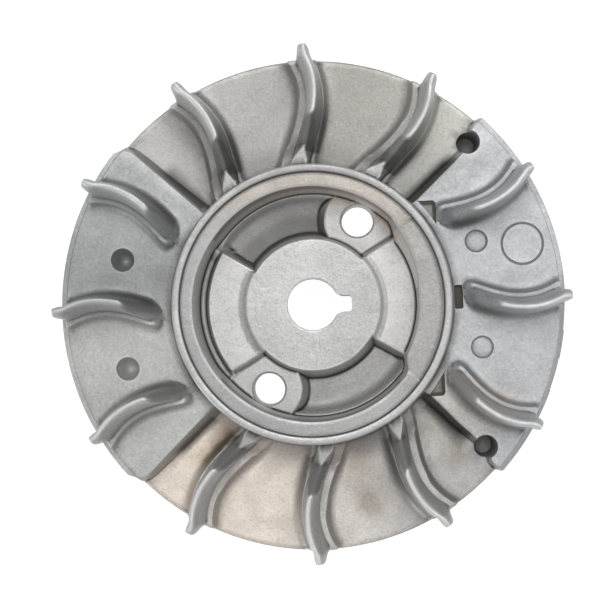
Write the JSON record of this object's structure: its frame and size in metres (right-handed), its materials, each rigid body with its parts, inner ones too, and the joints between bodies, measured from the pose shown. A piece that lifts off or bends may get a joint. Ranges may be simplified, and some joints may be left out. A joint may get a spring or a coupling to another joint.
{
  "type": "engine flywheel",
  "caption": "Die-cast fan flywheel of a small two-stroke engine, with curved cooling blades, a starter cup, a tapered keyed bore and a laminated magnet pole in its rim.",
  "frame": {"origin": "on the spin axis, at the back face of the rim", "axes": "+Z along the spin axis towards the fan blades and starter cup, +X through the keyway and the middle of the magnet"},
  "size_m": [0.097, 0.097, 0.0265],
  "materials": {
    "cast_aluminium": "as cast, matte silver",
    "lamination_steel": "bare sheet steel, slightly tarnished",
    "ferrite": "dull dark grey ceramic",
    "rivet_steel": "plain steel"
  },
  "bodies": {
    "root": {"rotor_casting": "cast_aluminium", "magnet": "ferrite", "yoke_lam_1": "lamination_steel", "yoke_lam_2": "lamination_steel", "yoke_lam_3": "lamination_steel", "yoke_lam_4": "lamination_steel", "yoke_lam_5": "lamination_steel", "yoke_lam_6": "lamination_steel", "yoke_lam_7": "lamination_steel", "yoke_lam_8": "lamination_steel", "yoke_lam_9": "lamination_steel", "yoke_lam_10": "lamination_steel", "pole_lam_1": "lamination_steel", "pole_lam_2": "lamination_steel", "pole_lam_3": "lamination_steel", "pole_lam_4": "lamination_steel", "pole_lam_5": "lamination_steel", "pole_lam_6": "lamination_steel", "pole_lam_7": "lamination_steel", "pole_lam_8": "lamination_steel", "pole_lam_9": "lamination_steel", "pole_lam_10": "lamination_steel", "yoke_rivet_1": "rivet_steel", "yoke_rivet_2": "rivet_steel", "pole_rivet_1": "rivet_steel", "pole_rivet_2": "rivet_steel"}
  },
  "joints": []
}
